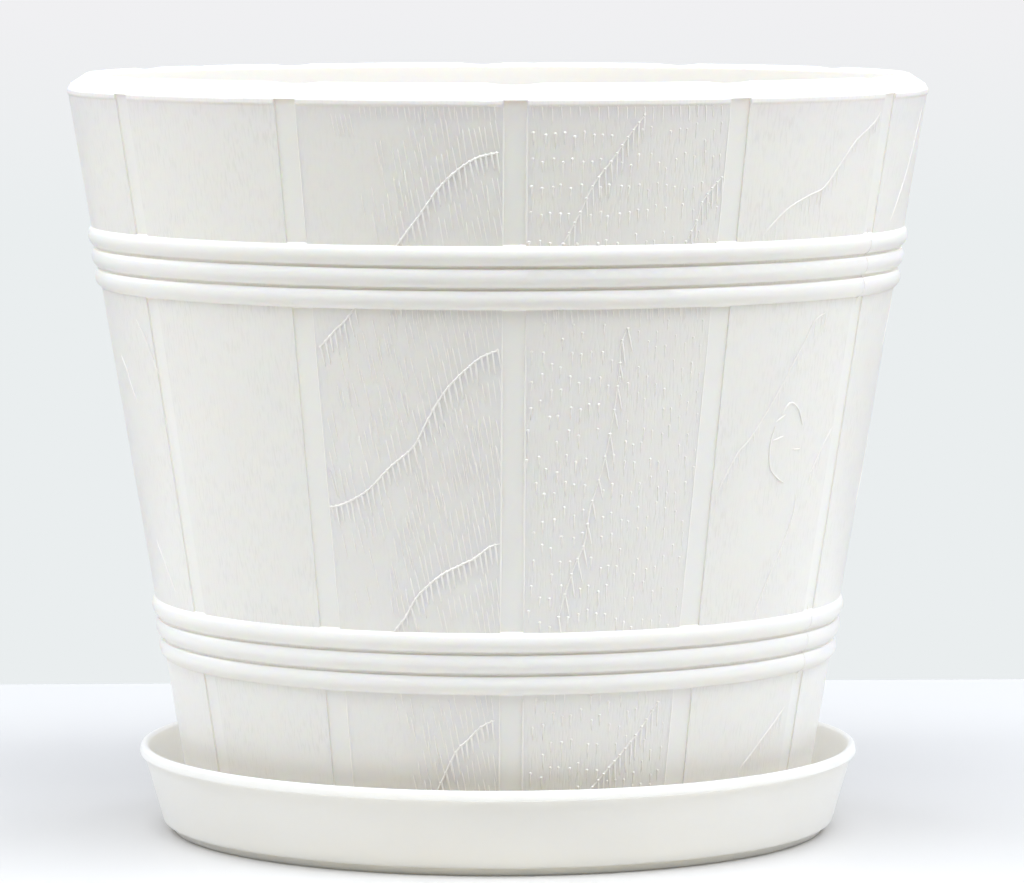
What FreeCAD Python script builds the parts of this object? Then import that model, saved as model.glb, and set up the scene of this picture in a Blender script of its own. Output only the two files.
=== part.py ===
"""A white moulded flower pot, made to look like a small stave tub, standing in its own saucer.

Millimetres, +Z up. The origin is on the common axis, at the level of the surface that the saucer stands on.
One strip between two staves points along -Y, which is the front.
"""
import FreeCAD
import Part
import math
import os

Vector = FreeCAD.Vector
UP = Vector(0, 0, 1)
ORIGIN = Vector(0, 0, 0)
FRONT_ANGLE = -90.0
FULL_TURN = 360.0
LONGEST_ROUNDING = 0.49

# Pot: overall sizes
pot_height = 207.4
rim_diameter = 240.0
base_diameter = 172.0
wall = 2.6

# Pot: rim with a rounded lip, a sloping top, a rounded crest and a bead inside
lip_proud = 0.4
lip_under = 0.6
lip_band = 1.05
lip_shoulder = 1.6
lip_shoulder_angle = 30.0
lip_round = 0.8
rim_slope_angle = 33.0
rim_width = 7.3
crest_round = 1.5
bead_depth = 7.5
bead_round = 1.0
bead_return_angle = 45.0

# Pot: base with a foot ring, a raised panel and drain holes
base_thickness = 2.6
base_round = 3.0
panel_rise = 1.8
foot_ring_width = 10.0
foot_ring_round = 0.5
inner_round = 4.0
drain_hole_diameter = 9.0
drain_hole_count = 8
drain_circle_diameter = 108.0
drain_channel_width = 8.0
drain_channel_count = 6

# Pot: staves and the smooth recessed strips between them
stave_count = 12
strip_width = 6.0
strip_depth = 0.45
strip_notch = 1.8
stave_edge_round = 0.35
crest_dip_depth = 0.55
crest_dip_width = 14.0

# Pot: two hoops of half-round ribs
rib_count = 3
rib_pitch = 5.85
rib_proud = 1.35
rib_edge = 0.35
groove_width = 0.95
groove_depth = 0.05
upper_hoop_drop = 44.85
lower_hoop_height = 52.75

# Saucer
saucer_height = 24.0
saucer_wall = 1.8
saucer_floor = 2.2
saucer_flare_angle = 16.2
saucer_gap = 6.9
saucer_lip_height = 2.8
saucer_lip_proud = 1.2
saucer_lip_draft_angle = 8.0
saucer_lip_round = 1.1
saucer_lip_edge_round = 0.4
saucer_corner_round = 0.5
saucer_inner_round = 3.0
saucer_foot_height = 2.3
saucer_foot_step = 2.5
saucer_foot_width = 6.0
saucer_foot_round = 0.4

# Worked out from the sizes above
rim_radius = rim_diameter / 2
base_radius = base_diameter / 2
mouth_radius = rim_radius - rim_width
rim_slope = math.tan(math.radians(rim_slope_angle))
rim_slope_length = 1 / math.cos(math.radians(rim_slope_angle))
rim_corner_z = pot_height - crest_round + crest_round * (rim_slope + rim_slope_length)
shoulder_radius = rim_radius - lip_shoulder * math.tan(math.radians(lip_shoulder_angle))
shoulder_z = rim_corner_z - (shoulder_radius - mouth_radius) * rim_slope
lip_top_z = shoulder_z - lip_shoulder
lip_low_z = lip_top_z - lip_band
lip_z = lip_low_z - lip_under
wall_top_radius = rim_radius - lip_proud
wall_slope = (wall_top_radius - base_radius) / lip_z
wall_angle = math.atan(wall_slope)
wall_upwards = Vector(math.sin(wall_angle), 0, math.cos(wall_angle))
wall_outwards = Vector(math.cos(wall_angle), 0, -math.sin(wall_angle))
floor_z = panel_rise + base_thickness
seat_z = saucer_foot_height + saucer_floor


def wall_radius(z):
    """Outer radius of the stave faces at height z above the pot's foot."""
    return base_radius + wall_slope * z


def inner_radius(z):
    """Inner radius of the pot's wall at height z above its foot."""
    return wall_radius(z) - wall / math.cos(wall_angle)


def wall_point(z):
    """The point of the stave faces at height z above the pot's foot, on the +X side."""
    return Vector(wall_radius(z), 0, z)


def line(start, end):
    """A straight edge."""
    return Part.LineSegment(start, end).toShape()


def rounded_corner(back, here, ahead, rounding):
    """Start, middle and end of the arc that rounds a corner, limited by its shorter side."""
    to_back = back - here
    to_ahead = ahead - here
    half = to_back.getAngle(to_ahead) / 2
    shorter = min(to_back.Length, to_ahead.Length)
    reach = min(rounding / math.tan(half), LONGEST_ROUNDING * shorter)
    radius = reach * math.tan(half)
    to_back.normalize()
    to_ahead.normalize()
    inwards = to_back + to_ahead
    inwards.normalize()
    depth = radius / math.sin(half) - radius
    return here + to_back * reach, here + inwards * depth, here + to_ahead * reach


def rounded_face(corners):
    """A face in the XZ plane with corners (x, z, rounding), joined by lines and tangent arcs."""
    points = [Vector(x, 0, z) for x, z, _ in corners]
    count = len(points)
    arcs = []
    for i, (_, _, rounding) in enumerate(corners):
        if rounding:
            arcs.append(rounded_corner(points[i - 1], points[i], points[(i + 1) % count], rounding))
        else:
            arcs.append((points[i], None, points[i]))
    edges = []
    for i, (start, middle, end) in enumerate(arcs):
        if middle:
            edges.append(Part.Arc(start, middle, end).toShape())
        edges.append(line(end, arcs[(i + 1) % count][0]))
    return Part.Face(Part.Wire(edges))


def turned(face):
    """The solid that a face in the XZ plane sweeps round the axis."""
    return face.revolve(ORIGIN, UP, FULL_TURN)


def around(shape, count, first_angle=FRONT_ANGLE):
    """Copies of a shape made on the +X side, spaced evenly round the axis."""
    copies = []
    for i in range(count):
        copy = shape.copy()
        copy.rotate(ORIGIN, UP, first_angle + i * FULL_TURN / count)
        copies.append(copy)
    return copies


def pot_shell():
    """The turned pot: base, tapered wall and rim, before the strips and hoops."""
    foot_inner = base_radius - base_round - foot_ring_width
    bead_z = pot_height - bead_depth
    bead_run = 1 / math.tan(math.radians(bead_return_angle))
    bead_end_z = bead_z - (inner_radius(bead_z) - mouth_radius) / (wall_slope + bead_run)
    return turned(rounded_face([
        (0, panel_rise, 0),
        (foot_inner, panel_rise, foot_ring_round),
        (foot_inner, 0, foot_ring_round),
        (base_radius, 0, base_round),
        (wall_top_radius, lip_z, 0),
        (rim_radius, lip_low_z, lip_round),
        (rim_radius, lip_top_z, lip_round),
        (shoulder_radius, shoulder_z, lip_round),
        (mouth_radius, rim_corner_z, crest_round),
        (mouth_radius, bead_z, bead_round),
        (inner_radius(bead_end_z), bead_end_z, bead_round),
        (inner_radius(floor_z), floor_z, inner_round),
        (0, floor_z, 0),
    ]))


def strip_cutters():
    """One bar per strip: its flat floor lies strip_depth under the stave faces, whose edges it rounds."""
    low = wall_point(-base_round)
    high = wall_point(lip_z + strip_notch)
    half = strip_width / 2
    wide = half + stave_edge_round
    bulge = stave_edge_round * (1 - math.sqrt(0.5))

    def place(t, n):
        return low + wall_outwards * n + Vector(0, t, 0)

    def side(sign):
        foot = place(sign * half, -strip_depth)
        shoulder = place(sign * half, -stave_edge_round)
        edge = place(sign * wide, 0)
        middle = place(sign * (half + bulge), -bulge)
        top = place(sign * wide, rim_width)
        return foot, top, [line(foot, shoulder), Part.Arc(shoulder, middle, edge).toShape(), line(edge, top)]

    left_foot, left_top, left_edges = side(-1)
    right_foot, right_top, right_edges = side(1)
    edges = [line(left_foot, right_foot)] + right_edges + [line(right_top, left_top)] + left_edges[::-1]
    bar = Part.Face(Part.Wire(edges)).extrude(high - low)
    return around(bar, stave_count)


def crest_dip_cutters():
    """One lying cylinder per strip, which lowers the crest a little above it."""
    half_width = crest_dip_width / 2
    radius = (half_width ** 2 + crest_dip_depth ** 2) / (2 * crest_dip_depth)
    start = Vector(mouth_radius - crest_round, 0, pot_height - crest_dip_depth + radius)
    cylinder = Part.makeCylinder(radius, rim_width + 2 * crest_round, start, Vector(1, 0, 0))
    return around(cylinder, stave_count)


def hoop(middle_z):
    """A ring of half-round ribs with narrow grooves between them, and the band of wall that it replaces."""
    middle = wall_point(middle_z)

    def place(s, n):
        return middle + wall_upwards * s + wall_outwards * n

    root = (strip_depth + wall) / 2
    half_rib = (rib_pitch - groove_width) / 2
    rise = rib_proud - rib_edge
    radius = (half_rib ** 2 + rise ** 2) / (2 * rise)
    half_root = math.sqrt(radius ** 2 - (radius - rib_proud - root) ** 2)
    last = (rib_count - 1) / 2 * rib_pitch
    ends = place(last + half_root, -root), place(-last - half_root, -root)
    edges = [line(*ends)]
    for k in range(rib_count):
        s = k * rib_pitch - last
        low = ends[1] if k == 0 else place(s - half_rib, rib_edge)
        high = ends[0] if k == rib_count - 1 else place(s + half_rib, rib_edge)
        edges.append(Part.Arc(low, place(s, rib_proud), high).toShape())
        if k < rib_count - 1:
            floor_low = place(s + half_rib, -groove_depth)
            floor_high = place(s + half_rib + groove_width, -groove_depth)
            edges.append(line(high, floor_low))
            edges.append(line(floor_low, floor_high))
            edges.append(line(floor_high, place(s + half_rib + groove_width, rib_edge)))
    ring = turned(Part.Face(Part.Wire(edges)))
    band_corners = [place(-last, -root), place(last, -root), place(last, radius), place(-last, radius)]
    band = turned(rounded_face([(corner.x, corner.z, 0) for corner in band_corners]))
    return ring, band


def drain_cutters():
    """Holes through the raised panel, and channels across the foot ring that let the water out."""
    hole_foot = Vector(drain_circle_diameter / 2, 0, -panel_rise)
    hole = Part.makeCylinder(drain_hole_diameter / 2, floor_z + 2 * panel_rise, hole_foot, UP)
    channel_foot = Vector(0, -drain_channel_width / 2, -panel_rise)
    channel = Part.makeBox(rim_radius, drain_channel_width, 2 * panel_rise, channel_foot)
    between_strips = FRONT_ANGLE + FULL_TURN / stave_count / 2
    return around(hole, drain_hole_count) + around(channel, drain_channel_count, between_strips)


def pot():
    """The whole pot, standing on the saucer's floor."""
    upper_ring, upper_band = hoop(lip_z - upper_hoop_drop)
    lower_ring, lower_band = hoop(lower_hoop_height)
    solid = pot_shell().cut(strip_cutters() + crest_dip_cutters() + drain_cutters())
    solid = solid.cut([upper_band, lower_band])
    solid = solid.fuse([upper_ring, lower_ring]).removeSplitter()
    solid.translate(Vector(0, 0, seat_z))
    return solid


def saucer():
    """A round dish with a flared wall, a lip and a foot ring set back under it."""
    flare_angle = math.radians(saucer_flare_angle)
    floor_radius = base_radius + saucer_gap

    def inside(z):
        return floor_radius + math.tan(flare_angle) * (z - seat_z)

    def outside(z):
        return inside(z) + saucer_wall / math.cos(flare_angle)

    edge_z = saucer_height - saucer_lip_height
    edge_radius = outside(edge_z) + saucer_lip_proud
    lip_top_radius = edge_radius - saucer_lip_height * math.tan(math.radians(saucer_lip_draft_angle))
    foot_radius = outside(saucer_foot_height) - saucer_foot_step
    return turned(rounded_face([
        (0, saucer_foot_height, 0),
        (foot_radius - saucer_foot_width, saucer_foot_height, saucer_foot_round),
        (foot_radius - saucer_foot_width, 0, saucer_foot_round),
        (foot_radius, 0, saucer_foot_round),
        (foot_radius, saucer_foot_height, saucer_foot_round),
        (outside(saucer_foot_height), saucer_foot_height, saucer_corner_round),
        (outside(edge_z), edge_z, 0),
        (edge_radius, edge_z, saucer_lip_edge_round),
        (lip_top_radius, saucer_height, saucer_lip_round),
        (inside(saucer_height), saucer_height, saucer_lip_round),
        (inside(seat_z), seat_z, saucer_inner_round),
        (0, seat_z, 0),
    ]))


os.makedirs("parts", exist_ok=True)
for name, shape in (("pot", pot()), ("saucer", saucer())):
    shape.exportStep(f"parts/{name}.step")
    print(name, "solids", len(shape.Solids), "valid", shape.isValid(), "volume mm3", round(shape.Volume))
print("lip underside", round(seat_z + lip_z, 2), "crest", round(seat_z + pot_height, 2))
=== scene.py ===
"""Flower pot with saucer as a Blender add-on: moulded plastic, raised wood grain, mould seams and a stage."""

import math
import random

import bmesh
import bpy
from mathutils import Matrix, Vector


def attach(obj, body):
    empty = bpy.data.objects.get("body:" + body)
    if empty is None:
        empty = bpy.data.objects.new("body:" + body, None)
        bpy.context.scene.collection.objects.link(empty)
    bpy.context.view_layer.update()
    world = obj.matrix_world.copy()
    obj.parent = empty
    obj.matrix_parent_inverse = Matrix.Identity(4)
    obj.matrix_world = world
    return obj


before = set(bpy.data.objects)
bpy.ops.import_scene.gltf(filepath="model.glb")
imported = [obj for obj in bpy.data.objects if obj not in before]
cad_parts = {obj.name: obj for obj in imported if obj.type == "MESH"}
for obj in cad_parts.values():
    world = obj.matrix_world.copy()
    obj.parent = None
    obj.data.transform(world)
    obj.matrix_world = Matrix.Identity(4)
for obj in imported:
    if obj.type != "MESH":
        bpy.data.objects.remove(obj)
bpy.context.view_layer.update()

bl_info = {
    "name": "Stave flower pot",
    "version": (1, 0, 0),
    "blender": (4, 5, 0),
    "location": "3D View > Sidebar > Flower pot",
    "description": "Gives a packed flower pot and saucer their plastic, their raised wood grain and a stage",
    "category": "Object",
}

MM = 0.001
STAVES = 12
STAVE_TURN = math.tau / STAVES

# Heights above the table in mm: lowest grain, the two hoops that cover grain, and the underside of the lip
GRAIN_FOOT = 9.0
HOOPS = ((48.8, 65.8), (152.4, 169.5))
LIP = 205.6

# Heights in mm that fringes of short strokes hang from, just inside the lip and the upper hoop
LIP_FRINGE = LIP + 0.5
HOOP_FRINGE = HOOPS[1][0] + 0.7

# In mm: how far grain runs on under a hoop, how far it keeps from a stave's edge, and half a stave's width
HOOP_LAP = 1
EDGE_ROOM = 0.5
STAVE_REACH = 28

# In mm: spacing of the points along a ridge, and of those that strokes are chosen from
RIDGE_PITCH = 1.0
TRACE_PITCH = 0.1

# Length of the drop model's tail, in radii of its head
DROP_TAIL = 10

# Lines of the grain, as points (across, up) in mm from a stave's middle and from the table, drawn
FAN_LINES = (
    ((-24, 142), (-19, 147), (-15, 151), (0, 171), (4, 176), (7, 180), (10, 184), (14, 188), (18, 191),
     (22, 193), (27, 194)),
    ((-23, 99), (-19, 100), (-12, 104), (-6, 110), (1, 116), (5, 123), (8, 128), (11, 132), (15, 136),
     (20, 140), (25, 142)),
    ((-7, 65), (-3, 70), (0, 75), (4, 79), (8, 82), (12, 84), (16, 86), (20, 89), (23, 90)),
    ((-3, 9), (4, 23), (9, 33), (12, 36), (16, 40), (20, 42)),
)
DROP_CHAINS = (
    ((-17, 170), (-13, 178), (-10, 185), (-5, 192), (-1, 198), (2, 202), (4, 205)),
    ((17, 170), (20, 176), (21, 180), (24, 184), (27, 187)),
    ((-13, 70), (-10, 82), (-7, 90), (-6, 99), (-3, 111), (-1, 124), (0, 136), (0, 143), (2, 148)),
    ((-10, 13), (-2, 22), (4, 29), (10, 36), (17, 46)),
)
KNOT_LINES = (
    ((-18, 171), (-15, 174), (-10, 178), (-3, 181), (3, 183), (9, 189), (15, 195), (24, 200), (27, 203)),
    ((-22, 102), (-17, 112), (-13, 116), (-6, 126), (-1, 134), (4, 142), (7, 147), (12, 149)),
    ((15, 105), (19, 111), (24, 117)),
    ((-3, 67), (2, 78), (6, 86), (9, 94), (9, 100)),
    ((0, 24), (9, 32), (19, 40)),
)
KNOT_RING = (
    ((-2, 122), (1, 125), (5, 123), (8, 118)),
    ((-4, 119), (-5, 114), (-4, 108), (-1, 105), (3, 103)),
)
KNOT_RAYS = (((-4, 120), (0, 122)), ((-4, 115), (0, 116)), ((5, 112), (8, 112)))
LEFT_LINES = (
    ((-3, 135), (1, 131), (4, 126), (7, 122)),
    ((17, 146), (21, 141), (24, 135), (26, 131)),
    ((2, 84), (8, 76), (12, 70)),
)
RIGHT_LINES = (
    ((6, 136), (10, 143), (13, 150)),
    ((-14, 172), (-4, 186), (4, 203)),
    ((8, 92), (13, 101), (16, 112)),
)

# Rows of strokes along a fan line: height of a row's top over it and length in mm, weight and chance
FAN_ROWS = (
    (0.6, 6.5, 1, 1),
    (9, 8, 0.55, 0.95),
    (17, 8, 0.5, 0.85),
    (25, 8, 0.45, 0.65),
    (33, 8, 0.45, 0.45),
    (-7.5, 7, 0.5, 0.8),
    (-15.5, 7, 0.5, 0.6),
    (-23.5, 7, 0.45, 0.45),
)

# Softboxes: bearing from the front and height in degrees, distance, width and depth in metres, and watts
SOFTBOXES = {
    "softbox_high": (0, 75, 1.3, 3.0, 0.35, 21.9),
    "softbox_front": (0, 60, 1.5, 2.4, 0.4, 18.6),
    "softbox_left": (-95, 30, 1.5, 0.8, 0.8, 2.3),
    "softbox_right": (80, 38, 1.5, 0.8, 0.8, 4.3),
    "softbox_back_left": (-130, 30, 1.5, 0.8, 0.8, 8.1),
    "softbox_back_right": (130, 30, 1.5, 0.8, 0.8, 7.9),
}


def linear(code):
    """Linear red, green and blue of an sRGB hex code."""
    parts = [int(code[i:i + 2], 16) / 255 for i in (0, 2, 4)]
    return [p / 12.92 if p <= 0.04045 else ((p + 0.055) / 1.055) ** 2.4 for p in parts]


def length(name, description, default):
    """A length property, given in mm and kept in metres."""
    return bpy.props.FloatProperty(name=name, description=description, default=default * MM, min=0,
                                   precision=5, subtype="DISTANCE", unit="LENGTH")


def colour(name, description, code):
    """A colour property from an sRGB hex code."""
    return bpy.props.FloatVectorProperty(name=name, description=description, default=linear(code), size=3,
                                         min=0, max=1, subtype="COLOR")


def turn(name, description, degrees):
    """An angle property, given in degrees."""
    return bpy.props.FloatProperty(name=name, description=description, default=math.radians(degrees),
                                   subtype="ANGLE", unit="ROTATION")


class PotSizes(bpy.types.PropertyGroup):
    """Sizes of the grain, the seams and the stage"""

    strip: length("Strip width", "Smooth sunk strip between two staves", 6)
    ridge: length("Ridge half width", "Half width of a main line of the grain", 0.28)
    fine_ridge: length("Fine ridge half width", "Half width of a fainter and flatter line", 0.26)
    thread: length("Thread half width", "The same for the faintest lines, which only link beads", 0.2)
    edge: length("Edge half width", "The same for the raised edges of the staves with deep grain", 0.26)
    bead: length("Bead radius", "Radius of the beads where strokes hang from a main line", 0.47)
    tick: length("Tick half width", "Half width of a short stroke", 0.3)
    comb_pitch: length("Comb pitch", "Spacing across of the strokes that hang from a line", 1.35)
    drop: length("Drop head radius", "Radius of the round head of a drop", 0.41)
    drop_pitch: length("Drop pitch", "Spacing of the drops across a stave", 2.6)
    drop_rows: length("Drop row pitch", "Spacing of the rows of drops up a stave", 7)
    seam: length("Seam half width", "Half width of the mould's parting line on the hoops", 0.16)
    floor_behind: length("Floor behind", "Distance from the pot's axis to the far edge of the table", 310)
    floor_front: length("Floor in front", "Distance from the pot's axis to the table's near edge", 480)
    floor_side: length("Floor to each side", "Distance from the pot's axis to the table's side edges", 1600)
    camera_distance: length("Camera distance", "Level distance from the pot's axis", 1637)
    camera_height: length("Camera height", "Height above the table", 252.8)
    camera_turn: turn("Camera bearing", "Bearing of the camera from the front strip", -2.2)
    camera_pan: turn("Camera pan", "How far the camera looks to the right of the axis", 0.139)
    camera_dip: turn("Camera dip", "How far the camera looks down", 5.045)
    lens: bpy.props.FloatProperty(name="Lens", description="Focal length on a 36 mm sensor", default=205.7,
                                  unit="CAMERA")


class PotColours(bpy.types.PropertyGroup):
    """Colours of the plastic and of the stage"""

    plastic: colour("Plastic", "Warm white of the moulded polypropylene", "F5F1EB")
    plastic_pale: colour("Plastic, pale", "Where the pigment is a little thicker", "F7F4EF")
    # The raised lines' paler colours are painted light, for the light that shines through them
    raised: colour("Raised grain", "Thin raised lines, which light shines through", "FFFAF2")
    raised_pale: colour("Raised grain, pale", "The same where the pigment is a little thicker", "FFFCF6")
    saucer: colour("Saucer", "Slightly creamier white of the saucer's polypropylene", "F3EDE2")
    saucer_pale: colour("Saucer, pale", "The same where the pigment is a little thicker", "F7F2E8")
    table: colour("Table", "Matt white table top", "D2D0CD")
    backdrop: colour("Backdrop", "Pale paper all round", "EAEEEF")
    backdrop_top: colour("Backdrop, top", "The same paper higher up", "F0F0F2")
    daylight: colour("Daylight", "Slightly cool light of the paper and of the softboxes in front", "F4F9FF")
    skylight: colour("Skylight", "Cooler light of the softboxes at the sides and behind", "ECF2FF")


def surface(bearing, up):
    """Outermost place of the pot's solid at a bearing from the front and a height, in metres."""
    away = Vector((math.sin(bearing), -math.cos(bearing), 0))
    hit, place, _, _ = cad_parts["pot"].ray_cast(away + Vector((0, 0, up)), -away)
    if not hit:
        raise RuntimeError("no wall where the pot should have one")
    return place


def wall_at(up):
    """Radius of a stave's face at a height, the farthest that a few rays on one stave find."""
    return max(surface(math.radians(degrees), up).to_2d().length for degrees in range(5, 26))


# Two heights on the bare wall between the hoops give its taper
bpy.context.view_layer.update()
LOW_UP, HIGH_UP = 80 * MM, 140 * MM
WALL_SLOPE = (wall_at(HIGH_UP) - wall_at(LOW_UP)) / (HIGH_UP - LOW_UP)
WALL_FOOT = wall_at(LOW_UP) - LOW_UP * WALL_SLOPE


def wall_radius(up):
    """Radius of the staves' faces at a height above the table, in metres."""
    return WALL_FOOT + WALL_SLOPE * up


def spot(stave, across, up, proud=0.0):
    """Frame of a place on a stave, in metres: X runs round the wall to the right, Z up it and Y into it.

    Stave 0 is the first to the right of the front strip, and -1 the first to its left.
    """
    bearing = (stave + 0.5) * STAVE_TURN + across / wall_radius(up)
    return (Matrix.Rotation(bearing, 4, "Z") @ Matrix.Translation((0, -wall_radius(up), up))
            @ Matrix.Rotation(math.atan(WALL_SLOPE), 4, "X") @ Matrix.Translation((0, -proud, 0)))


def half_stave(up, strip):
    """Half the width of a stave's face at a height, in metres."""
    return wall_radius(up) * STAVE_TURN / 2 - strip / 2


def under_hoop(up):
    """Whether a height in mm lies where a hoop covers the grain."""
    return any(low + HOOP_LAP < up < high - HOOP_LAP for low, high in HOOPS)


def on_stave(across, up, strip):
    """Whether a place in mm lies on a stave's bare face."""
    return (abs(across) * MM < half_stave(up * MM, strip) - EDGE_ROOM * MM and GRAIN_FOOT < up < LIP
            and not under_hoop(up))


def drawn(line, spacing):
    """Evenly spaced points on a smooth curve through the points of a line."""
    cuts = 24
    ends = (line[0],) + tuple(line) + (line[-1],)
    fine = []
    for a, b, c, d in zip(ends, ends[1:], ends[2:], ends[3:]):
        for step in range(cuts):
            t = step / cuts
            fine.append([((2 * b[k]) + (c[k] - a[k]) * t + (2 * a[k] - 5 * b[k] + 4 * c[k] - d[k]) * t * t
                          + (3 * b[k] - a[k] - 3 * c[k] + d[k]) * t ** 3) / 2 for k in (0, 1)])
    fine.append(list(line[-1]))
    points = [fine[0]]
    left = spacing
    for p, q in zip(fine, fine[1:]):
        left -= math.dist(p, q)
        if left <= 0:
            points.append(q)
            left += spacing
    return points


def stepped(line, pitch, upright=6):
    """Points of a drawn line at even steps across, or at longer ones where it runs almost upright, in mm."""
    points = []
    for place in drawn(line, TRACE_PITCH):
        if not points or abs(place[0] - points[-1][0]) >= pitch or math.dist(place, points[-1]) >= upright:
            points.append(place)
    return points


def only(*pieces):
    """Selects just these pieces and makes the first one active."""
    bpy.ops.object.select_all(action="DESELECT")
    for piece in pieces:
        piece.select_set(True)
    bpy.context.view_layer.objects.active = pieces[0]


def pick(test):
    """Selects the vertices of the mesh in edit mode that pass a test of their place."""
    mesh = bmesh.from_edit_mesh(bpy.context.object.data)
    for vertex in mesh.verts:
        vertex.select = test(vertex.co)
    mesh.select_flush(True)
    mesh.select_flush(False)
    bmesh.update_edit_mesh(bpy.context.object.data)


def tick_model():
    """One tick: a raised stroke of unit length and half width with pointed ends, hung from the origin."""
    bpy.ops.object.select_all(action="DESELECT")
    bpy.ops.mesh.primitive_uv_sphere_add(segments=6, ring_count=4, radius=1)
    bpy.ops.object.mode_set(mode="EDIT")
    bpy.ops.transform.resize(value=(1, 1, 0.5), center_override=(0, 0, 0))
    bpy.ops.transform.translate(value=(0, 0, -0.5))
    # The ring near the top gets wider and the one near the bottom narrower
    for low, high, wide in ((-0.2, -0.1, 1.3), (-0.9, -0.8, 0.7)):
        pick(lambda place: low < place.z < high)
        bpy.ops.transform.resize(value=(wide, wide, 1), center_override=(0, 0, 0))
    bpy.ops.object.mode_set(mode="OBJECT")
    return bpy.context.object


def drop_model():
    """One drop: a round head of unit radius at the origin and a thin tail that hangs from it."""
    bpy.ops.object.select_all(action="DESELECT")
    bpy.ops.mesh.primitive_uv_sphere_add(segments=8, ring_count=6, radius=1)
    bpy.ops.object.mode_set(mode="EDIT")
    # The lower rings and the bottom point are narrowed and pulled down
    rings = ((-0.6, -0.4, 0.52, 0.6), (-0.9, -0.8, 0.76, 3.2), (-1.1, -0.95, 1, DROP_TAIL - 1))
    for low, high, narrow, down in rings:
        pick(lambda place: low < place.z < high)
        bpy.ops.transform.resize(value=(narrow, narrow, 1), center_override=(0, 0, 0))
        bpy.ops.transform.translate(value=(0, 0, -down))
    bpy.ops.object.mode_set(mode="OBJECT")
    return bpy.context.object


def stamped(model, places):
    """A copy of the model at each place, each with its own mesh, joined into one."""
    copies = []
    for place in places:
        mesh = model.data.copy()
        mesh.transform(place)
        copies.append(bpy.data.objects.new(model.name, mesh))
        bpy.context.collection.objects.link(copies[-1])
    bpy.data.objects.remove(model)
    only(*copies)
    bpy.ops.object.join()
    return bpy.context.object


def ridge(places, half):
    """A raised ridge with a round back, its middle line at these places, that narrows at both ends."""
    bpy.ops.object.select_all(action="DESELECT")
    bpy.ops.curve.primitive_nurbs_path_add()
    path = bpy.context.object
    path.data.splines.clear()
    spline = path.data.splines.new("POLY")
    spline.points.add(len(places) - 1)
    tip, growth = 0.4, 0.3
    for step, (point, place) in enumerate(zip(spline.points, places)):
        point.co = (*place, 1)
        point.radius = min(1, tip + growth * min(step, len(places) - 1 - step))
    path.data.bevel_depth = half
    path.data.bevel_resolution = 2
    path.data.use_fill_caps = True
    bpy.ops.object.convert(target="MESH")
    return bpy.context.object


def lines_on(stave, lines, half, sunk):
    """Ridges along drawn lines of a stave, sunk by a share of their half width, which stop at the hoops."""
    pieces = []
    for line in lines:
        runs = [[]]
        for across, up in drawn(line, RIDGE_PITCH):
            if under_hoop(up):
                runs.append([])
            else:
                runs[-1].append(spot(stave, across * MM, up * MM, -sunk * half).translation)
        pieces += [ridge(run, half) for run in runs if len(run) > 2]
    return pieces


def edges_of(stave, sizes):
    """Thin ridges along both edges of a stave, sunk by half of their half width, which stop at the hoops."""
    inset, steps = 0.12 * MM, 12
    (first, second), (third, fourth) = HOOPS
    bare = ((GRAIN_FOOT, first + HOOP_LAP), (second - HOOP_LAP, third + HOOP_LAP), (fourth - HOOP_LAP, LIP))
    pieces = []
    for low, high in bare:
        heights = [(low + (high - low) * step / steps) * MM for step in range(steps + 1)]
        for side in (-1, 1):
            places = [spot(stave, side * (half_stave(up, sizes.strip) - inset), up, -0.5 * sizes.edge)
                      for up in heights]
            pieces.append(ridge([place.translation for place in places], sizes.edge))
    return pieces


def hung(stave, across, up, reach, half, proud, slant):
    """Where a tick hangs on a stave: across, up and reach in mm, half width and relief in metres."""
    return (spot(stave, across * MM, up * MM) @ Matrix.Rotation(slant, 4, "Y")
            @ Matrix.Diagonal((half, proud, reach * MM, 1)))


def dropped(stave, across, up, head, tail, slant):
    """Where a drop sits on a stave, a little flattened: its head's radius in metres and its tail in mm."""
    return (spot(stave, across * MM, up * MM) @ Matrix.Rotation(slant, 4, "Y")
            @ Matrix.Diagonal((head, head * 0.7, tail * MM / DROP_TAIL, 1)))


def fringe(stave, top, first, spacing, sizes, rng):
    """Places of short strokes that hang from the lip or a hoop, from first to the stave's right edge."""
    places = []
    for step in range(int((STAVE_REACH - first) / spacing)):
        across = first + step * spacing + rng.uniform(-0.2, 0.2)
        if on_stave(across, top - 1.5, sizes.strip):
            half = sizes.tick * rng.uniform(0.5, 0.75)
            places.append(hung(stave, across, top, rng.uniform(3, 5), half, 0.8 * half,
                               math.radians(rng.uniform(-9, -1))))
    return places


def both_halves(context, pieces, name):
    """Joins pieces into one, copies it to the far half of the pot and lets both ride on the pot."""
    only(*pieces)
    bpy.ops.object.join()
    bpy.ops.object.shade_smooth()
    first = bpy.context.object
    first.data.materials.clear()
    first.data.materials.append(bpy.data.materials["moulded_polypropylene_raised_painted_light"])
    second = first.copy()
    second.data = first.data.copy()
    second.data.transform(Matrix.Rotation(math.pi, 4, "Z"))
    context.collection.objects.link(second)
    for piece, side in ((first, "front"), (second, "back")):
        piece.name = piece.data.name = f"{name}_{side}"
        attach(piece, "pot")


def node(tree, kind, inputs=None, **settings):
    """Adds a node with its settings, and links or sets its inputs."""
    made = tree.nodes.new(kind)
    for name, value in settings.items():
        setattr(made, name, value)
    for socket, source in (inputs or {}).items():
        if isinstance(source, bpy.types.NodeSocket):
            tree.links.new(source, made.inputs[socket])
        else:
            made.inputs[socket].default_value = source
    return made


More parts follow.
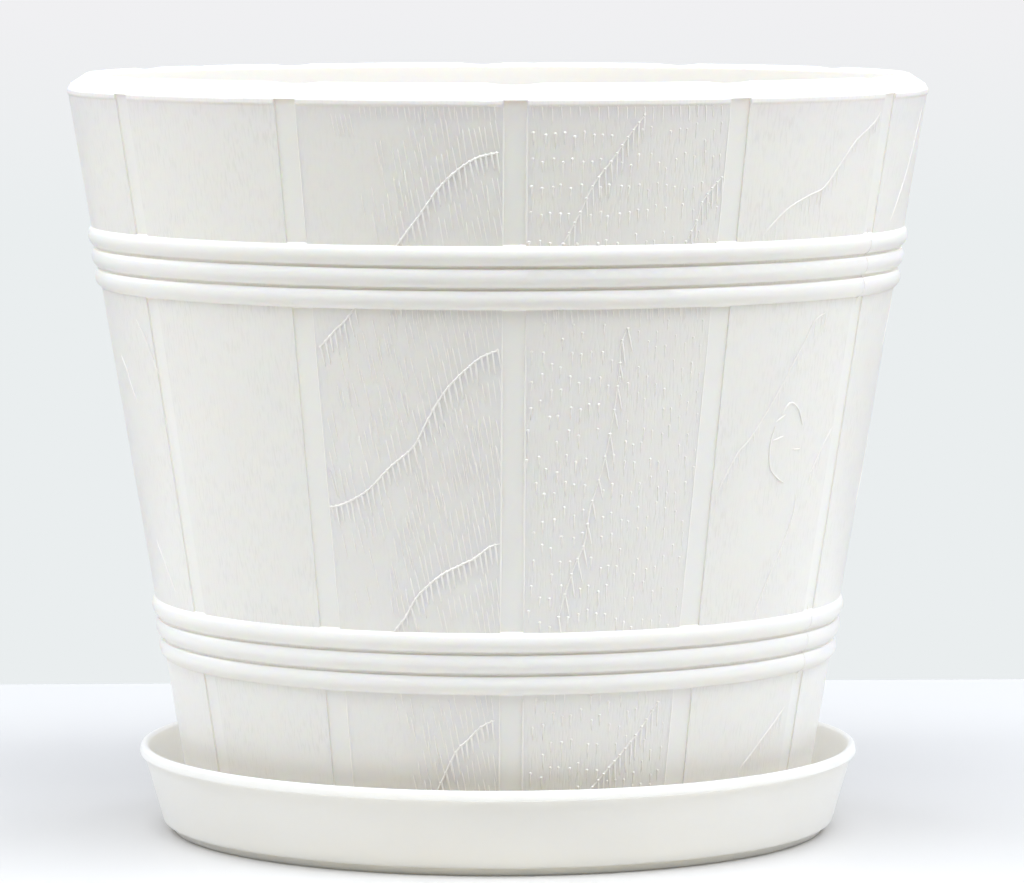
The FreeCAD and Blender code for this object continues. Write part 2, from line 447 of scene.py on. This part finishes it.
def stave_finish(tree, place, tint, relief):
    """The pot's colour and relief: fine upright grain on the staves' faces, and painted shade on the staves'
    faces, in the dashes and inside, which gets greyer with depth.
    """
    axes = node(tree, "ShaderNodeSeparateXYZ", {"Vector": place}).outputs
    level = node(tree, "ShaderNodeCombineXYZ", {"X": axes["X"], "Y": axes["Y"]}).outputs["Vector"]
    radius = node(tree, "ShaderNodeVectorMath", {0: level}, operation="LENGTH").outputs["Value"]
    face = node(tree, "ShaderNodeMath", {0: axes["Z"], 1: WALL_SLOPE, 2: WALL_FOOT},
                operation="MULTIPLY_ADD").outputs[0]
    proud = node(tree, "ShaderNodeMath", {0: radius, 1: face}, operation="SUBTRACT").outputs[0]
    # Staves' faces, without the sunk strips and the hoops; this mask also paints shade on them, a little
    # greyer than the strips and hoops
    above = node(tree, "ShaderNodeMapRange", {"Value": proud, "From Min": -0.3 * MM, "From Max": -0.15 * MM})
    below = node(tree, "ShaderNodeMapRange", {"Value": proud, "From Min": 0.35 * MM, "From Max": 0.2 * MM})
    bare = node(tree, "ShaderNodeMath", {0: above.outputs["Result"], 1: below.outputs["Result"]},
                operation="MULTIPLY").outputs[0]
    # Dashes 0.6 mm apart and about six times as long, in patches of 12 mm, sunk by a bump and darkened with
    # painted shade
    bearing = node(tree, "ShaderNodeMath", {0: axes["X"], 1: axes["Y"]}, operation="ARCTAN2").outputs[0]
    around = node(tree, "ShaderNodeMath", {0: bearing, 1: 105 * MM}, operation="MULTIPLY").outputs[0]
    rise = node(tree, "ShaderNodeMath", {0: axes["Z"], 1: 0.16}, operation="MULTIPLY").outputs[0]
    sheet = node(tree, "ShaderNodeCombineXYZ", {"X": around, "Z": rise}).outputs["Vector"]
    grain = node(tree, "ShaderNodeTexNoise", {"Vector": sheet, "Scale": 1 / (0.6 * MM), "Detail": 1.0})
    dash = node(tree, "ShaderNodeMapRange", {"Value": grain.outputs["Fac"], "From Min": 0.48,
                                             "From Max": 0.66})
    patch = node(tree, "ShaderNodeTexNoise", {"Vector": place, "Scale": 1 / (12 * MM), "Detail": 1.0})
    thick = node(tree, "ShaderNodeMapRange", {"Value": patch.outputs["Fac"], "From Min": 0.35,
                                              "From Max": 0.6, "To Min": 0.25})
    dash = node(tree, "ShaderNodeMath", {0: dash.outputs["Result"], 1: thick.outputs["Result"]},
                operation="MULTIPLY").outputs[0]
    dash = node(tree, "ShaderNodeMath", {0: dash, 1: bare}, operation="MULTIPLY").outputs[0]
    relief = node(tree, "ShaderNodeBump", {"Strength": 1.0, "Distance": 0.03 * MM, "Height": dash,
                                           "Normal": relief}, invert=True).outputs["Normal"]
    # The four staves next to the front and back strips have the deepest grain and fainter dashes, and get a
    # little more painted shade
    side = node(tree, "ShaderNodeMath", {0: axes["X"], 1: radius}, operation="DIVIDE").outputs[0]
    deep = node(tree, "ShaderNodeMath", {0: side, 1: 0.0, 2: 0.5}, operation="COMPARE").outputs[0]
    deep = node(tree, "ShaderNodeMath", {0: deep, 1: bare}, operation="MULTIPLY").outputs[0]
    faint = node(tree, "ShaderNodeMapRange", {"Value": deep, "To Min": 1.0, "To Max": 0.5}).outputs["Result"]
    dash = node(tree, "ShaderNodeMath", {0: dash, 1: faint}, operation="MULTIPLY").outputs[0]
    # Painted shade inside the pot: it gets greyer from 11 mm under the crest to half way down, so that its
    # depth shows under the strong light from above
    inner = node(tree, "ShaderNodeMapRange", {"Value": proud, "From Min": -1.2 * MM, "From Max": -1.8 * MM})
    lower = node(tree, "ShaderNodeMapRange", {"Value": axes["Z"], "From Min": 201 * MM, "From Max": 120 * MM})
    painted_shade_inside = node(tree, "ShaderNodeMath", {0: inner.outputs["Result"], 1: lower.outputs["Result"]},
                  operation="MULTIPLY").outputs[0]
    # Each mask darkens the plastic by its own factors of red, green and blue, all as painted shade
    for mask, factors in ((bare, (0.975, 0.975, 0.975)), (deep, (0.988, 0.988, 0.988)),
                          (painted_shade_inside, (0.57, 0.57, 0.56)), (dash, (0.945, 0.945, 0.94))):
        tint = node(tree, "ShaderNodeMix", {0: mask, 6: tint, 7: (*factors, 1)}, data_type="RGBA",
                    blend_type="MULTIPLY").outputs[2]
    return tint, relief


def plastic(name, shade, pale, share=0.0, depths=(MM, MM, MM), staves=False):
    """Moulded polypropylene: white, softly glossy, with faint flow clouds and the mould's own fine texture.

    A share of the light sinks in, by depths in metres for red, green and blue, and comes out again near by.
    """
    material = bpy.data.materials.new(name)
    material.use_nodes = True
    tree = material.node_tree
    shader = tree.nodes["Principled BSDF"]
    shader.inputs["IOR"].default_value = 1.49
    shader.inputs["Subsurface Weight"].default_value = share
    shader.inputs["Subsurface Radius"].default_value = depths
    shader.inputs["Subsurface Scale"].default_value = 1.0
    place = node(tree, "ShaderNodeTexCoord").outputs["Object"]
    # Flow clouds, about 45 mm across
    cloud = node(tree, "ShaderNodeTexNoise", {"Vector": place, "Scale": 1 / (45 * MM), "Detail": 3.0})
    tint = node(tree, "ShaderNodeMix", {0: cloud.outputs["Fac"], 6: (*shade, 1), 7: (*pale, 1)},
                data_type="RGBA").outputs[2]
    # Gloss varies a little over patches of 8 mm
    patch = node(tree, "ShaderNodeTexNoise", {"Vector": place, "Scale": 1 / (8 * MM), "Detail": 2.0})
    gloss = node(tree, "ShaderNodeMapRange", {"Value": patch.outputs["Fac"], "From Min": 0.3, "From Max": 0.7,
                                              "To Min": 0.3, "To Max": 0.38})
    tree.links.new(gloss.outputs["Result"], shader.inputs["Roughness"])
    # Spark-eroded mould texture, grit of 0.45 mm
    grit = node(tree, "ShaderNodeTexNoise", {"Vector": place, "Scale": 1 / (0.45 * MM), "Detail": 1.0})
    relief = node(tree, "ShaderNodeBump", {"Strength": 1.0, "Distance": 0.01 * MM,
                                           "Height": grit.outputs["Fac"]}).outputs["Normal"]
    # The pot also gets its fine grain and its painted shade
    if staves:
        tint, relief = stave_finish(tree, place, tint, relief)
    tree.links.new(tint, shader.inputs["Base Color"])
    tree.links.new(relief, shader.inputs["Normal"])
    return material


class FLOWERPOT_OT_plastic(bpy.types.Operator):
    """Give the pot and the saucer their moulded plastic"""

    bl_idname = "flowerpot.plastic"
    bl_label = "Plastic"

    def execute(self, context):
        tones = context.scene.pot_colours
        wall = plastic("moulded_polypropylene_grained", tones.plastic, tones.plastic_pale, share=0.4,
                       depths=(4 * MM, 3 * MM, 1.2 * MM), staves=True)
        # The saucer's thin wall lets more light through
        dish = plastic("moulded_polypropylene_smooth", tones.saucer, tones.saucer_pale, share=1.0,
                       depths=(6 * MM, 5.7 * MM, 5.1 * MM))
        # Raised lines get a paler colour than the wall, painted light for the light that enters them from
        # both sides
        plastic("moulded_polypropylene_raised_painted_light", tones.raised, tones.raised_pale)
        for body, material in (("pot", wall), ("saucer", dish)):
            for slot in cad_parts[body].material_slots:
                slot.material = material
        return {"FINISHED"}


class FLOWERPOT_OT_fan_staves(bpy.types.Operator):
    """Raise the grain of the staves with long curved lines and combs of strokes"""

    bl_idname = "flowerpot.fan_staves"
    bl_label = "Fan staves"

    def execute(self, context):
        sizes = context.scene.pot_sizes
        stave = -1
        rng = random.Random(3)
        lines = lines_on(stave, FAN_LINES, sizes.ridge, sunk=0.1)
        strokes = []
        beads = []
        for line in FAN_LINES:
            for across, up in stepped(line, sizes.comb_pitch / MM):
                slant = math.radians(-9 + rng.uniform(-3, 3))
                strokes += self.rows(stave, across, up, slant, sizes, rng)
                if on_stave(across, up, sizes.strip):
                    beads.append(dropped(stave, across, up, sizes.bead * rng.uniform(0.9, 1.1), 4, slant))
        strokes += fringe(stave, LIP_FRINGE, -10, 1.5, sizes, rng)
        strokes += fringe(stave, HOOP_FRINGE, -4, 1.5, sizes, rng)
        # Five strokes by themselves in the top corner, 1.3 mm apart
        half = 0.5 * sizes.tick
        for step in range(5):
            strokes.append(hung(stave, -18 + 1.3 * step, 204, 6.5, half, half, math.radians(-10)))
        ticks = stamped(tick_model(), strokes)
        heads = stamped(drop_model(), beads)
        both_halves(context, [ticks, heads, *lines, *edges_of(stave, sizes)], "grain_fan")
        return {"FINISHED"}

    @staticmethod
    def rows(stave, across, up, slant, sizes, rng):
        """Places of the strokes over and under one point of a line, denser to the right."""
        places = []
        for over, reach, weight, chance in FAN_ROWS:
            far = abs(over) > 1
            top = up + over + (rng.uniform(-1.6, 1.6) if far else 0)
            chosen = rng.random() < chance + (across / 60 if far else 0)
            if (chosen and on_stave(across, top - 1, sizes.strip)
                    and on_stave(across, top - reach, sizes.strip)):
                half = sizes.tick * weight
                reach *= rng.uniform(0.75, 1.25)
                places.append(hung(stave, across, top, reach, half, 1.15 * half, slant))
        return places


class FLOWERPOT_OT_drop_staves(bpy.types.Operator):
    """Raise the grain of the staves with rows of drops and beaded lines"""

    bl_idname = "flowerpot.drop_staves"
    bl_label = "Drop staves"

    def execute(self, context):
        sizes = context.scene.pot_sizes
        stave = 0
        rng = random.Random(8)
        lines = lines_on(stave, DROP_CHAINS, sizes.thread, sunk=0.4)
        beads = [bead for line in DROP_CHAINS for bead in stepped(line, sizes.comb_pitch / MM)]
        drops = []
        strokes = []
        for across, up in beads:
            if on_stave(across, up, sizes.strip):
                # Tails lean between the hoops and hang straighter elsewhere
                lean = math.radians((-12 if HOOPS[0][1] < up < HOOPS[1][0] else -3) + rng.uniform(-3, 3))
                drops.append(dropped(stave, across, up, sizes.bead * rng.uniform(0.9, 1.1), 3, lean))
                reach = rng.uniform(5.5, 7.5)
                strokes.append(hung(stave, across, up, reach, 0.8 * sizes.tick, 0.9 * sizes.tick, lean))
        drops += self.rows(stave, beads, sizes, rng)
        heads = stamped(drop_model(), drops)
        strokes += fringe(stave, LIP_FRINGE, -27, 2.5, sizes, rng)
        strokes += fringe(stave, HOOP_FRINGE, -22, 1.6, sizes, rng)
        ticks = stamped(tick_model(), strokes)
        both_halves(context, [heads, ticks, *lines, *edges_of(stave, sizes)], "grain_drops")
        return {"FINISHED"}

    @staticmethod
    def rows(stave, beads, sizes, rng):
        """Places of the drops all over a stave, clear of the beaded lines."""
        # In mm: reach of the columns from the stave's middle, depth of the first row under the lip, and room
        # round the beads; then the share of drops that is left out
        reach, first, clear, missing = 29, 7, 2, 0.08
        columns = int(reach / (sizes.drop_pitch / MM))
        rows = int((LIP - GRAIN_FOOT) / (sizes.drop_rows / MM)) + 1
        shifts = [rng.uniform(-3, 3) for _ in range(2 * columns + 1)]
        places = []
        for row in range(rows):
            for column in range(-columns, columns + 1):
                across = column * sizes.drop_pitch / MM + rng.uniform(-0.45, 0.45)
                # Rows wander more, and drops get smaller, towards the right
                right = max(0, min(1, (across + 4) / 16))
                wander = 0.8 + 2 * right
                up = LIP - first - row * sizes.drop_rows / MM + rng.uniform(-wander, wander)
                if up < HOOPS[1][1]:
                    # Under the upper hoop each column is shifted and the rows fall away to the right
                    up += shifts[column + columns] - 0.35 * max(0, across + 14)
                if not on_stave(across, up, sizes.strip) or rng.random() < missing:
                    continue
                if min(math.dist((across, up), bead) for bead in beads) < clear:
                    continue
                strength = 1 - 0.3 * right * rng.uniform(0.5, 1.2)
                places.append(dropped(stave, across, up, sizes.drop * strength * rng.uniform(0.85, 1.1),
                                      rng.uniform(3, 4.5), math.radians(rng.uniform(-3, 3))))
        return places


class FLOWERPOT_OT_knot_staves(bpy.types.Operator):
    """Raise the grain of the staves with a knot, thin lines and fine strokes"""

    bl_idname = "flowerpot.knot_staves"
    bl_label = "Knot staves"

    def execute(self, context):
        sizes = context.scene.pot_sizes
        stave = 1
        rng = random.Random(5)
        lines = lines_on(stave, KNOT_LINES, sizes.fine_ridge, sunk=0.4)
        lines += lines_on(stave, KNOT_RING + KNOT_RAYS, sizes.fine_ridge, sunk=0.0)
        strokes = []
        for line in KNOT_LINES:
            for across, up in stepped(line, sizes.comb_pitch / MM):
                if on_stave(across, up - 2, sizes.strip) and rng.random() < 0.7:
                    half = rng.uniform(0.3, 0.5) * sizes.tick
                    strokes.append(hung(stave, across, up, rng.uniform(3, 7), half, 0.5 * half,
                                        math.radians(rng.uniform(-4, 2))))
        both_halves(context, [stamped(tick_model(), strokes), *lines], "grain_knot")
        return {"FINISHED"}


class FLOWERPOT_OT_quiet_staves(bpy.types.Operator):
    """Raise the few thin lines of the staves at the sides"""

    bl_idname = "flowerpot.quiet_staves"
    bl_label = "Quiet staves"

    def execute(self, context):
        half = context.scene.pot_sizes.fine_ridge
        for stave, name, lines in ((-3, "grain_left", LEFT_LINES), (2, "grain_right", RIGHT_LINES)):
            both_halves(context, lines_on(stave, lines, half, sunk=0.35), name)
        return {"FINISHED"}


class FLOWERPOT_OT_seams(bpy.types.Operator):
    """Lay the mould's parting line over the hoops, on two opposite strips"""

    bl_idname = "flowerpot.seams"
    bl_label = "Mould seams"

    def execute(self, context):
        half = context.scene.pot_sizes.seam
        bearing = 2 * STAVE_TURN
        lap, pitch = 2.5, 0.5
        fins = []
        for low, high in HOOPS:
            steps = range(int((high - low + 2 * lap) / pitch))
            fins.append(ridge([surface(bearing, (low - lap + pitch * step) * MM) for step in steps], half))
        both_halves(context, fins, "mould_seam")
        return {"FINISHED"}


def lay_table(sizes, colours):
    """Matt white table top, with faint clouds of 120 mm so that it isn't one flat colour."""
    bpy.ops.object.select_all(action="DESELECT")
    bpy.ops.mesh.primitive_plane_add(size=2 * sizes.floor_side)
    table = bpy.context.object
    table.name = table.data.name = "table_top"
    bpy.ops.object.mode_set(mode="EDIT")
    pick(lambda place: place.y > 0)
    bpy.ops.transform.translate(value=(0, sizes.floor_behind - sizes.floor_side, 0))
    pick(lambda place: place.y < 0)
    bpy.ops.transform.translate(value=(0, sizes.floor_side - sizes.floor_front, 0))
    bpy.ops.object.mode_set(mode="OBJECT")
    laminate = bpy.data.materials.new("matt_white_laminate")
    laminate.use_nodes = True
    tree = laminate.node_tree
    shader = tree.nodes["Principled BSDF"]
    shader.inputs["Roughness"].default_value = 0.55
    place = node(tree, "ShaderNodeTexCoord").outputs["Object"]
    cloud = node(tree, "ShaderNodeTexNoise", {"Vector": place, "Scale": 1 / (120 * MM), "Detail": 2.0})
    tint = node(tree, "ShaderNodeMix", {0: cloud.outputs["Fac"], 6: (*colours.table, 1),
                                        7: (*[0.97 * c for c in colours.table], 1)}, data_type="RGBA")
    tree.links.new(tint.outputs[2], shader.inputs["Base Color"])
    table.data.materials.append(laminate)


def hang_paper(scene, colours):
    """Pale paper all round, paler from just under eye level up, with a glow that is stronger from behind."""
    world = bpy.data.worlds.new("pale_surround")
    scene.world = world
    world.use_nodes = True
    tree = world.node_tree
    paper = tree.nodes["Background"]
    around = node(tree, "ShaderNodeTexCoord").outputs["Generated"]
    around = node(tree, "ShaderNodeSeparateXYZ", {"Vector": around}).outputs
    rise = node(tree, "ShaderNodeMapRange", {"Value": around["Z"], "From Min": -0.05, "From Max": -0.015})
    shade = node(tree, "ShaderNodeMix", {0: rise.outputs["Result"], 6: (*colours.backdrop, 1),
                                         7: (*colours.backdrop_top, 1)}, data_type="RGBA")
    tree.links.new(shade.outputs[2], paper.inputs["Color"])
    level = node(tree, "ShaderNodeMapRange", {"Value": around["Y"], "From Min": 0.0, "From Max": 0.6,
                                              "To Min": 0.21, "To Max": 0.44}).outputs["Result"]
    glow = node(tree, "ShaderNodeBackground", {"Color": (*colours.daylight, 1), "Strength": level})
    seen = node(tree, "ShaderNodeLightPath").outputs["Is Camera Ray"]
    both = node(tree, "ShaderNodeMixShader", {0: seen, 1: glow.outputs[0], 2: paper.outputs[0]})
    tree.links.new(both.outputs[0], tree.nodes["World Output"].inputs["Surface"])


def hang_softboxes(colours):
    """Softboxes that all face the pot's middle; those straight in front are a little warmer."""
    aim = Vector((0, 0, 100 * MM))
    for name, (bearing, height, away, wide, deep, watts) in SOFTBOXES.items():
        spin = (Matrix.Rotation(math.radians(bearing), 3, "Z")
                @ Matrix.Rotation(math.radians(height), 3, "X").inverted())
        place = aim + away * (spin @ Vector((0, -1, 0)))
        bpy.ops.object.light_add(type="AREA", location=place,
                                 rotation=(aim - place).to_track_quat("-Z", "Y").to_euler())
        softbox = bpy.context.object
        softbox.name = softbox.data.name = name
        softbox.data.shape = "RECTANGLE"
        softbox.data.size = wide
        softbox.data.size_y = deep
        softbox.data.energy = watts
        softbox.data.color = colours.skylight if bearing else colours.daylight
        softbox.visible_camera = False


def set_camera(scene, sizes):
    """The camera at the photograph's place, on a 36 mm sensor."""
    away = sizes.camera_turn
    bpy.ops.object.camera_add(
        location=(sizes.camera_distance * math.sin(away), -sizes.camera_distance * math.cos(away),
                  sizes.camera_height),
        rotation=(math.pi / 2 - sizes.camera_dip, 0, away - sizes.camera_pan))
    camera = bpy.context.object
    camera.data.lens = sizes.lens
    camera.data.sensor_width = 36
    camera.data.clip_start = 0.05
    camera.data.clip_end = 20
    scene.camera = camera


class FLOWERPOT_OT_stage(bpy.types.Operator):
    """Set up the table, the soft light and the camera"""

    bl_idname = "flowerpot.stage"
    bl_label = "Stage"

    def execute(self, context):
        scene = context.scene
        lay_table(scene.pot_sizes, scene.pot_colours)
        hang_paper(scene, scene.pot_colours)
        hang_softboxes(scene.pot_colours)
        scene.view_settings.view_transform = "Standard"
        set_camera(scene, scene.pot_sizes)
        return {"FINISHED"}


class FLOWERPOT_PT_panel(bpy.types.Panel):
    """Lists the steps, the sizes and the colours"""

    bl_idname = "FLOWERPOT_PT_panel"
    bl_label = "Flower pot"
    bl_space_type = "VIEW_3D"
    bl_region_type = "UI"
    bl_category = "Flower pot"

    def draw(self, context):
        for step in STEPS:
            self.layout.operator(step.bl_idname)
        for group in (context.scene.pot_sizes, context.scene.pot_colours):
            for name in group.__annotations__:
                self.layout.prop(group, name)


STEPS = (FLOWERPOT_OT_plastic, FLOWERPOT_OT_fan_staves, FLOWERPOT_OT_drop_staves, FLOWERPOT_OT_knot_staves,
         FLOWERPOT_OT_quiet_staves, FLOWERPOT_OT_seams, FLOWERPOT_OT_stage)
CLASSES = (PotSizes, PotColours, *STEPS, FLOWERPOT_PT_panel)


def register():
    for cls in CLASSES:
        bpy.utils.register_class(cls)
    bpy.types.Scene.pot_sizes = bpy.props.PointerProperty(type=PotSizes)
    bpy.types.Scene.pot_colours = bpy.props.PointerProperty(type=PotColours)


def unregister():
    del bpy.types.Scene.pot_colours
    del bpy.types.Scene.pot_sizes
    for cls in reversed(CLASSES):
        bpy.utils.unregister_class(cls)


def main():
    register()
    bpy.ops.flowerpot.plastic()
    bpy.ops.flowerpot.fan_staves()
    bpy.ops.flowerpot.drop_staves()
    bpy.ops.flowerpot.knot_staves()
    bpy.ops.flowerpot.quiet_staves()
    bpy.ops.flowerpot.seams()
    bpy.ops.flowerpot.stage()


if __name__ == "__main__":
    main()
